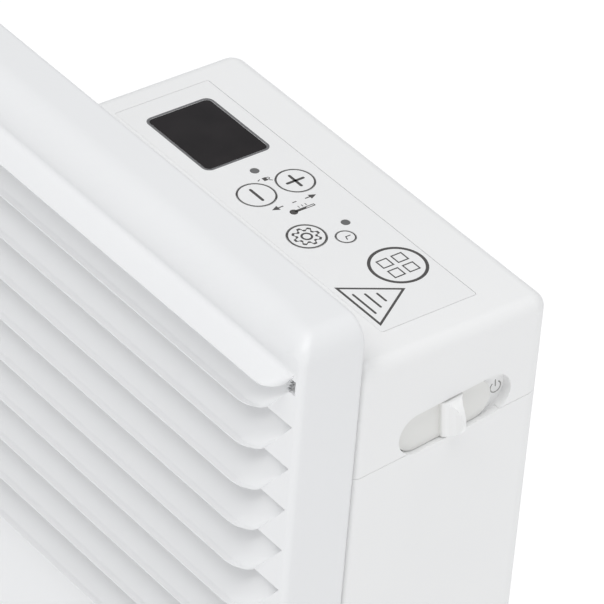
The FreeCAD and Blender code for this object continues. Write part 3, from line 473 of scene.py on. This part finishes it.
def field_edge(bm):
    """The strips' own corners that lie on the edge of the louvre field, in order round it."""
    near = 2e-6
    flat = [v for v in bm.verts if abs(v.co.y - Y_FACE) < near]
    top = sorted((v for v in flat if abs(v.co.z - Z_CREASE) < near), key=lambda v: v.co.x)
    foot = sorted((v for v in flat if abs(v.co.z - Z_FIELD) < near), key=lambda v: -v.co.x)
    inner = [v for v in flat if Z_FIELD + near < v.co.z < Z_CREASE - near]
    right = sorted((v for v in inner if abs(v.co.x - X_TIP) < near), key=lambda v: -v.co.z)
    left = sorted((v for v in inner if abs(v.co.x + X_TIP) < near), key=lambda v: v.co.z)
    return top + right + foot + left


def edge_loop(bm, corners):
    pairs = zip(corners, corners[1:] + corners[:1])
    return [bm.edges.get(pair) or bm.edges.new(pair) for pair in pairs]


def add_shell(bm):
    """Folded rim of the panel, rolled over at the front and joined to the strips already in the mesh."""
    strips = set(bm.faces)
    window = edge_loop(bm, field_edge(bm))
    outline = panel_outline()
    support = 0.5 * MM

    def ring(inward, depth):
        return [bm.verts.new(p - w * inward(r) + Vector((0, depth(r), 0))) for p, w, r in outline]

    rows = [ring(lambda r: REAR_INSET, lambda r: Y_FOLD)]
    rows.append(ring(lambda r: 0.0, lambda r: Y_FOLD - REAR_DEPTH))
    rows.append(ring(lambda r: 0.0, lambda r: Y_FOLD - REAR_DEPTH - support))
    rows.append(ring(lambda r: 0.0, lambda r: Y_FACE + r + support))
    steps = 12
    for k in range(steps + 1):
        a = math.radians(90 * k / steps)
        rows.append(ring(lambda r: r * (1 - math.cos(a)), lambda r: Y_FACE + r * (1 - math.sin(a))))
    count = len(outline)
    for inner, outer in zip(rows, rows[1:]):
        for i in range(count):
            j = (i + 1) % count
            bm.faces.new((inner[i], inner[j], outer[j], outer[i]))
    borders = edge_loop(bm, rows[-1]) + window
    filled = bmesh.ops.triangle_fill(bm, edges=borders, use_beauty=True, use_dissolve=False)
    inside = [
        f for f in filled["geom"]
        if isinstance(f, bmesh.types.BMFace)
        and abs(f.calc_center_median().x) < X_TIP - 1e-6 and Z_FIELD < f.calc_center_median().z < Z_CREASE
    ]
    bmesh.ops.delete(bm, geom=inside, context="FACES_ONLY")
    shell = [f for f in bm.faces if f not in strips]
    bmesh.ops.recalc_face_normals(bm, faces=shell)
    probe = max(shell, key=lambda f: f.calc_center_median().z)
    if probe.normal.z < 0:
        bmesh.ops.reverse_faces(bm, faces=shell)


def open_corner(bm):
    """The small open relief where the first slit meets the hood, at both ends."""
    relief = [
        f for f in bm.faces
        if X_TIP - RELIEF_WIDTH < abs(f.calc_center_median().x) < X_TIP
        and Z_SLIT - RELIEF_BELOW < f.calc_center_median().z < Z_SLIT + RELIEF_ABOVE
        and f.calc_center_median().y > Y_FACE - RELIEF_PROUD
    ]
    bmesh.ops.delete(bm, geom=relief, context="FACES")


def louvre_tree(name, flat_top):
    """Geometry Nodes: one pressed strip with closed rounded ends, repeated down the panel."""
    tree = bpy.data.node_groups.new(name, "GeometryNodeTree")
    wanted = {"Tip": X_TIP, "Slant": 0.0, "Behind": 0.0, "Proud": 0.0, "Upper run": 0.0, "Lower run": 0.0,
              "Top": 0.0, "Height": 0.0, "Pitch": PITCH, "Face": Y_FACE, "Squareness": 1.0}
    for key in wanted:
        tree.interface.new_socket(key, in_out="INPUT", socket_type="NodeSocketFloat")
    tree.interface.new_socket("Count", in_out="INPUT", socket_type="NodeSocketInt")
    tree.interface.new_socket("Finish", in_out="INPUT", socket_type="NodeSocketMaterial")
    tree.interface.new_socket("Geometry", in_out="OUTPUT", socket_type="NodeSocketGeometry")
    kit = Kit(tree)
    entry = tree.nodes.new("NodeGroupInput")
    given = {socket.name: Wire(kit, socket) for socket in entry.outputs if socket.name}
    columns, rows = 93, 21
    grid = kit.node("GeometryNodeMeshGrid", None, 2.0, 2.0, columns, rows)
    spot = kit.node("GeometryNodeInputPosition")
    axes = kit.node("ShaderNodeSeparateXYZ", None, spot)
    side = axes.sign()
    reach = axes.size()
    down = (1.0 - Wire(kit, axes.socket.node.outputs[1])) * 0.5
    middle = (reach / MIDDLE_SHARE).low(1.0)
    turn = ((reach - MIDDLE_SHARE) / CLOSING_SHARE).high(0.0).low(1.0) * (math.pi / 2)
    flat = ((reach - (MIDDLE_SHARE + CLOSING_SHARE)) / TONGUE_SHARE).high(0.0)
    edge = given["Tip"] - given["Slant"] * down
    run = given["Upper run"] + (given["Lower run"] - given["Upper run"]) * down
    closing = run * turn.sine().high(0.0) ** given["Squareness"]
    x = middle * (edge - run) + closing + flat * (given["Tip"] - edge)
    if flat_top:
        start = down.low(ROUND_SHARE)
        lean = (start * start / (2 * ROUND_SHARE) + down - start) / (1 - ROUND_SHARE / 2)
    else:
        curl = ((down - (1 - CURL_SHARE)) / CURL_SHARE).high(0.0)
        wave = down * 0.9 + (1.0 - (down * math.pi).cosine()) * 0.05
        lean = wave * (1 - CURL_DEPTH) + curl * CURL_DEPTH
    depth = given["Behind"] - (given["Behind"] + given["Proud"]) * lean
    y = given["Face"] + depth * turn.cosine().high(0.0) ** given["Squareness"]
    z = given["Top"] - given["Height"] * down
    place = kit.node("ShaderNodeCombineXYZ", None, x * side, y, z)
    bent = kit.node("GeometryNodeSetPosition", None, grid, Position=place)
    welded = kit.node("GeometryNodeMergeByDistance", None, bent, Distance=0.00001)
    step = kit.node("ShaderNodeCombineXYZ", None, 0.0, 0.0, given["Pitch"] * -1.0)
    line = kit.node("GeometryNodeMeshLine", None, Count=given["Count"], Offset=step)
    copies = kit.node("GeometryNodeInstanceOnPoints", None, line, Instance=welded)
    real = kit.node("GeometryNodeRealizeInstances", None, copies)
    dressed = kit.node("GeometryNodeSetMaterial", None, real, Material=given["Finish"])
    leave = tree.nodes.new("NodeGroupOutput")
    tree.links.new(dressed.socket, leave.inputs[0])
    return tree


def louvres(name, flat_top, values):
    """Runs the strip tree with its sizes and gives the plain mesh."""
    work = work_object(name, bmesh.new())
    modifier = work.modifiers.new("strips", "NODES")
    modifier.node_group = louvre_tree(name, flat_top)
    for item in modifier.node_group.interface.items_tree:
        if item.in_out == "INPUT":
            modifier[item.identifier] = values[item.name]
    return frozen(name, work)


def front_panel():
    """The whole sheet as one piece: rim, hood and slats, given its thickness and softened edges."""
    common = {"Tip": X_TIP, "Pitch": PITCH, "Face": Y_FACE, "Finish": FINISHES["painted_steel"]}
    slats = louvres("slats", False, {
        **common, "Slant": SLAT_SLANT, "Behind": SLAT_BEHIND, "Proud": SLAT_OUT,
        "Upper run": SLAT_UPPER_RUN, "Lower run": SLAT_LOWER_RUN, "Top": Z_SLIT,
        "Height": PITCH, "Count": SLATS, "Squareness": 1.0,
    })
    hood = louvres("hood", True, {
        **common, "Slant": HOOD_SLANT, "Behind": 0.0, "Proud": HOOD_OUT,
        "Upper run": HOOD_UPPER_RUN, "Lower run": HOOD_LOWER_RUN, "Top": Z_CREASE,
        "Height": HOOD_HEIGHT, "Count": 1, "Squareness": HOOD_SQUARENESS,
    })
    bm = bmesh.new()
    for mesh in (slats, hood):
        bm.from_mesh(mesh)
    bmesh.ops.remove_doubles(bm, verts=bm.verts, dist=2e-6)
    bmesh.ops.reverse_faces(bm, faces=[face for face in bm.faces if face.normal.y > 0])
    add_shell(bm)
    open_corner(bm)
    for face in bm.faces:
        face.material_index = 0
    work = work_object("sheet", bm)
    solid = work.modifiers.new("thickness", "SOLIDIFY")
    solid.thickness, solid.offset, solid.use_even_offset = SHEET, -1.0, True
    soft = work.modifiers.new("edges", "BEVEL")
    soft.width, soft.segments = EDGE_SOFTENING, 2
    soft.limit_method, soft.angle_limit = "ANGLE", math.radians(50)
    mesh = frozen("pressed_front_panel", work)
    mesh.materials.clear()
    mesh.materials.append(FINISHES["painted_steel"])
    smooth(mesh, 40)
    return settle("pressed_front_panel", mesh, "heater", "painted_steel", "front_panel")


front_panel()

# ---- printed label -------------------------------------------------------------------------------
label_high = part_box("label_foil")[1]
LABEL_GAP_X, LABEL_GAP_Y = 0.15 * MM, 0.25 * MM  # from the foil to the corner the marks are measured from
LABEL_CORNER = Vector((label_high.x + LABEL_GAP_X, label_high.y + LABEL_GAP_Y, label_high.z))
INK_HEIGHT = 0.03 * MM


class Print:
    """Flat marks collected for one body, in millimetres from the label's rear right corner."""

    def __init__(self, name, body, ink=INK, slot="label_film"):
        self.name, self.body, self.ink, self.slot = name, body, ink, slot
        self.bm = bmesh.new()

    def at(self, x, y, height):
        return LABEL_CORNER + Vector((x * MM, y * MM, height))

    def loop(self, points, height):
        return [self.bm.verts.new(self.at(x, y, height)) for x, y in points]

    def band(self, outer, inner):
        """A closed band between two outlines with the same number of points."""
        high_out, high_in = self.loop(outer, INK_HEIGHT), self.loop(inner, INK_HEIGHT)
        low_out, low_in = self.loop(outer, -INK_HEIGHT), self.loop(inner, -INK_HEIGHT)
        count = len(outer)
        for i in range(count):
            j = (i + 1) % count
            for a, b in ((high_out, high_in), (high_in, low_in), (low_in, low_out), (low_out, high_out)):
                self.bm.faces.new((a[i], a[j], b[j], b[i]))

    def patch(self, outline):
        high, low = self.loop(outline, INK_HEIGHT), self.loop(outline, -INK_HEIGHT)
        self.bm.faces.new(high)
        self.bm.faces.new(low[::-1])
        count = len(outline)
        for i in range(count):
            j = (i + 1) % count
            self.bm.faces.new((high[i], low[i], low[j], high[j]))

    def ring(self, x, y, radius, width, steps=64):
        turns = [2 * math.pi * k / steps for k in range(steps)]
        outer = [(x + radius * math.cos(a), y + radius * math.sin(a)) for a in turns]
        inner = [(x + (radius - width) * math.cos(a), y + (radius - width) * math.sin(a)) for a in turns]
        self.band(outer, inner)

    def disc(self, x, y, radius, steps=40):
        turns = [2 * math.pi * k / steps for k in range(steps)]
        self.patch([(x + radius * math.cos(a), y + radius * math.sin(a)) for a in turns])

    def stroke(self, points, width):
        """A line of even width with round ends along a run of points."""
        half = width / 2
        left, right = [], []
        for i, (x, y) in enumerate(points):
            x0, y0 = points[max(i - 1, 0)]
            x1, y1 = points[min(i + 1, len(points) - 1)]
            a = math.atan2(y1 - y0, x1 - x0) + math.pi / 2
            left.append((x + half * math.cos(a), y + half * math.sin(a)))
            right.append((x - half * math.cos(a), y - half * math.sin(a)))
        (xa, ya), (xb, yb) = points[0], points[-1]
        head = math.atan2(yb - points[-2][1], xb - points[-2][0])
        tail = math.atan2(points[1][1] - ya, points[1][0] - xa)
        fan = (1.0, 0.5, 0.0, -0.5, -1.0)
        cap = [(xb + half * math.cos(head + t), yb + half * math.sin(head + t)) for t in fan]
        end = [(xa - half * math.cos(tail + t), ya - half * math.sin(tail + t)) for t in fan]
        self.patch((left + cap + right[::-1] + end)[::-1])

    def closed_line(self, corners, width):
        """An outline of even width round a polygon given counter-clockwise."""
        inner = []
        count = len(corners)
        for i, (x, y) in enumerate(corners):
            before, after = Vector(corners[i - 1]), Vector(corners[(i + 1) % count])
            here = Vector((x, y))
            a, b = (here - before).normalized(), (after - here).normalized()
            normal_a, normal_b = Vector((-a.y, a.x)), Vector((-b.y, b.x))
            mitre = (normal_a + normal_b).normalized()
            inner.append(tuple(here + mitre * width / max(mitre.dot(normal_a), 0.2)))
        self.band(corners, inner)

    def arrow(self, x, y, way, length=4.0):
        """A thin arrow along the label's width; way is 1 towards the wall, -1 towards the room."""
        tip, neck = y + way * length / 2, y + way * (length / 2 - 2.3)
        foot = y - way * length / 2
        shaft = [(x - 0.2, foot), (x + 0.2, foot), (x + 0.2, neck), (x - 0.2, neck)]
        head = [(x - 1.1, neck), (x + 1.1, neck), (x, tip)]
        for shape in (shaft, head):
            self.patch(shape if way > 0 else shape[::-1])

    def done(self):
        bmesh.ops.recalc_face_normals(self.bm, faces=self.bm.faces)
        mesh = bpy.data.meshes.new(self.name)
        self.bm.to_mesh(mesh)
        self.bm.free()
        mesh.materials.append(self.ink)
        return settle(self.name, mesh, self.body, self.slot)


slide = next(joint for joint in frame["joints"] if joint["name"] == "power_slide")
SLOT_DEPTH = 3.4 * MM


class FloorPrint(Print):
    """Marks on the floor of the side slot, in millimetres from its middle: along it, then up."""

    def at(self, x, y, height):
        along = Vector(slide["axis"])
        across = Vector((1, 0, 0)).cross(along)
        floor = Vector(slide["pos_m"]) - Vector((SLOT_DEPTH, 0, 0))
        return floor + along * x * MM + across * y * MM + Vector((height, 0, 0))


def rounded_box(cx, cy, length, width, radius, steps=8):
    points = []
    for sx, sy, start in ((1, -1, -90), (1, 1, 0), (-1, 1, 90), (-1, -1, 180)):
        for k in range(steps + 1):
            a = math.radians(start + 90 * k / steps)
            x = cx + sx * (length / 2 - radius) + radius * math.cos(a)
            points.append((x, cy + sy * (width / 2 - radius) + radius * math.sin(a)))
    return points


def print_label():
    marks = Print("label_printing", "heater")
    # small padlock with its link lines between the two temperature keys
    marks.patch([(-78.8, -17.7), (-77.2, -17.7), (-77.2, -16.4), (-78.8, -16.4)])
    marks.stroke([(-78.5, -16.4), (-78.4, -15.7), (-78.0, -15.4), (-77.6, -15.7), (-77.5, -16.4)], 0.28)
    marks.stroke([(-77.1, -16.1), (-76.5, -15.4)], 0.3)
    marks.stroke([(-78.6, -18.6), (-78.2, -19.4)], 0.3)
    # warmer and cooler arrows beside a thermometer
    marks.arrow(-64.2, -22.8, -1)
    marks.arrow(-63.9, -11.0, 1)
    marks.stroke([(-64.1, -17.4), (-64.1, -16.2)], 0.35)
    marks.disc(-60.1, -20.0, 1.25)
    marks.closed_line([(-60.6, -19.2), (-59.6, -19.2), (-59.6, -12.4), (-60.6, -12.4)], 0.3)
    marks.stroke([(-60.1, -19.4), (-60.1, -15.6)], 0.4)
    for k in range(3):
        marks.stroke([(-61.9, -17.2 + 1.3 * k), (-61.1, -17.2 + 1.3 * k)], 0.25)
    # plain triangle holding three straight bars
    marks.closed_line([(-24.2, -32.9), (-2.6, -32.9), (-13.2, -15.7)], 0.75)
    for k, half in enumerate((5.2, 3.6, 2.0)):
        marks.stroke([(-13.4 - half, -30.4 + 3.1 * k), (-13.4 + half, -30.4 + 3.1 * k)], 0.7)
    # plain ring holding four small squares
    marks.ring(-23.2, -10.5, 8.95, 1.0)
    for dx in (-2.7, 2.7):
        for dy in (-2.7, 2.7):
            x, y = -23.2 + dx, -10.5 + dy
            marks.closed_line([(x - 2, y - 2), (x + 2, y - 2), (x + 2, y + 2), (x - 2, y + 2)], 0.45)
    marks.done()
    frame_line = Print("display_border", "heater", BORDER_INK)
    frame_line.band(rounded_box(-105.8, -17.3, 32.0, 24.3, 2.6), rounded_box(-105.8, -17.3, 30.5, 22.8, 1.95))
    frame_line.done()


# the middles of the marks on the four keys
PLUS, MINUS = (-72.7, -9.9), (-72.8, -24.0)
SETTINGS, TIMER = (-48.4, -24.2), (-42.3, -14.7)
KEY_RING = 5.9


def print_keys():
    x, y = PLUS
    plus = Print("plus_mark", "plus_key")
    plus.ring(x, y, KEY_RING, 0.42)
    plus.stroke([(x - 2.9, y), (x + 2.9, y)], 0.95)
    plus.stroke([(x, y - 2.9), (x, y + 2.9)], 0.95)
    plus.done()
    x, y = MINUS
    minus = Print("minus_mark", "minus_key")
    minus.ring(x, y, KEY_RING, 0.42)
    minus.stroke([(x - 3.0, y), (x + 3.0, y)], 0.95)
    minus.done()
    x, y = SETTINGS
    gear = Print("settings_mark", "settings_key")
    gear.ring(x, y, KEY_RING, 0.5)
    outer, inner = [], []
    teeth, steps = 8, 96
    for k in range(steps):
        a = 2 * math.pi * k / steps
        swell = max(-1.0, min(1.0, 3.2 * math.cos(a * teeth)))
        radius = 3.85 + 0.55 * swell
        outer.append((x + radius * math.cos(a), y + radius * math.sin(a)))
        inner.append((x + (radius - 0.75) * math.cos(a), y + (radius - 0.75) * math.sin(a)))
    gear.band(outer, inner)
    gear.ring(x, y, 1.85, 0.65)
    gear.done()
    x, y = TIMER
    clock = Print("timer_mark", "timer_key")
    clock.ring(x, y, 3.0, 0.35)
    clock.stroke([(x, y), (x, y + 1.6)], 0.35)
    clock.stroke([(x, y), (x + 1.3, y - 0.4)], 0.35)
    clock.done()


def print_slot():
    """A plain open ring with a short bar, on the floor at the wall end of the side slot."""
    mark = FloorPrint("slot_mark", "heater", FAINT_INK, "white_plastic")
    x, y = 17.4, -1.1
    turns = [math.radians(130 + 280 * k / 28) for k in range(29)]
    mark.stroke([(x + 1.9 * math.cos(a), y + 1.9 * math.sin(a)) for a in turns], 0.4)
    mark.stroke([(x, y + 0.3), (x, y + 2.5)], 0.4)
    mark.done()


print_label()
print_keys()
print_slot()

# ---- room, lights and camera ------------------------------------------------------------------------
FLOOR_HALF, FLOOR_HEIGHT = 12.0, -0.62
WORLD_LIGHT = 0.43
CONTROL_END = (0.35, -0.05, 0.1)
# each lamp's place, what it points at, its width in metres and its power in watts
LAMPS = {
    "top_light": ((0.6, -0.3, 1.9), CONTROL_END, 1.4, 15.5),
    "key_light": ((0.5, -1.05, 1.75), CONTROL_END, 0.8, 4.5),
    "front_light": ((0.0, -2.1, 0.3), (0.35, -0.1, 0.05), 1.2, 2.2),
    "side_light": ((2.2, -0.5, 0.8), (0.42, -0.06, 0.05), 0.9, 3.0),
}
# the camera's place, measured from the label's rear right corner, and its own right, down and ahead
CAMERA_PLACE = Vector((0.8270, -0.7597, 0.8021))
CAMERA_RIGHT = Vector((0.6043, 0.7939, 0.0668))
CAMERA_DOWN = Vector((0.4996, -0.3123, -0.8080))
CAMERA_AHEAD = Vector((-0.6207, 0.5217, -0.5853))
LENS, SENSOR = 289.3, 36.0


def soft_lamp(name, place, aim, size, power):
    lamp = bpy.data.lights.new(name, "AREA")
    lamp.shape, lamp.size, lamp.energy = "SQUARE", size, power
    holder = bpy.data.objects.new(name, lamp)
    bpy.context.collection.objects.link(holder)
    holder.location = place
    holder.rotation_euler = (Vector(aim) - Vector(place)).to_track_quat("-Z", "Y").to_euler()


def studio():
    floor_mesh = bpy.data.meshes.new("studio_floor")
    sides = ((-1, -1), (1, -1), (1, 1), (-1, 1))
    corners = [(x * FLOOR_HALF, y * FLOOR_HALF, FLOOR_HEIGHT) for x, y in sides]
    floor_mesh.from_pydata(corners, [], [(0, 1, 2, 3)])
    floor = bpy.data.objects.new("studio_floor", floor_mesh)
    bpy.context.collection.objects.link(floor)
    kit = Finish("white_floor", Specular_IOR_Level=0.2, Emission_Color=(1, 1, 1, 1), Emission_Strength=0.5)
    cloud = kit.noise(0.6, 2.0)
    pale = kit.blend(cloud, (0.93, 0.93, 0.93), (0.95, 0.95, 0.95))
    floor_mesh.materials.append(kit.wear(Base_Color=pale, Roughness=kit.span(cloud, 0, 1, 0.85, 0.95)))
    world = bpy.data.worlds.new("studio_air")
    world.use_nodes = True
    backdrop = world.node_tree.nodes["Background"]
    backdrop.inputs[0].default_value = (0.965, 0.98, 1.0, 1)
    backdrop.inputs[1].default_value = WORLD_LIGHT
    bpy.context.scene.world = world
    bpy.context.scene.view_settings.view_transform = "Standard"
    for name, (place, aim, size, power) in LAMPS.items():
        soft_lamp(name, place, aim, size, power)


def camera():
    holder = bpy.data.objects.new("camera", bpy.data.cameras.new("camera"))
    bpy.context.collection.objects.link(holder)
    turn = Matrix((CAMERA_RIGHT, -CAMERA_DOWN, -CAMERA_AHEAD)).transposed().to_4x4()
    turn.translation = LABEL_CORNER + CAMERA_PLACE
    holder.matrix_world = turn
    holder.data.lens, holder.data.sensor_width = LENS, SENSOR
    holder.data.clip_start, holder.data.clip_end = 0.05, 60.0
    bpy.context.scene.camera = holder


studio()
camera()
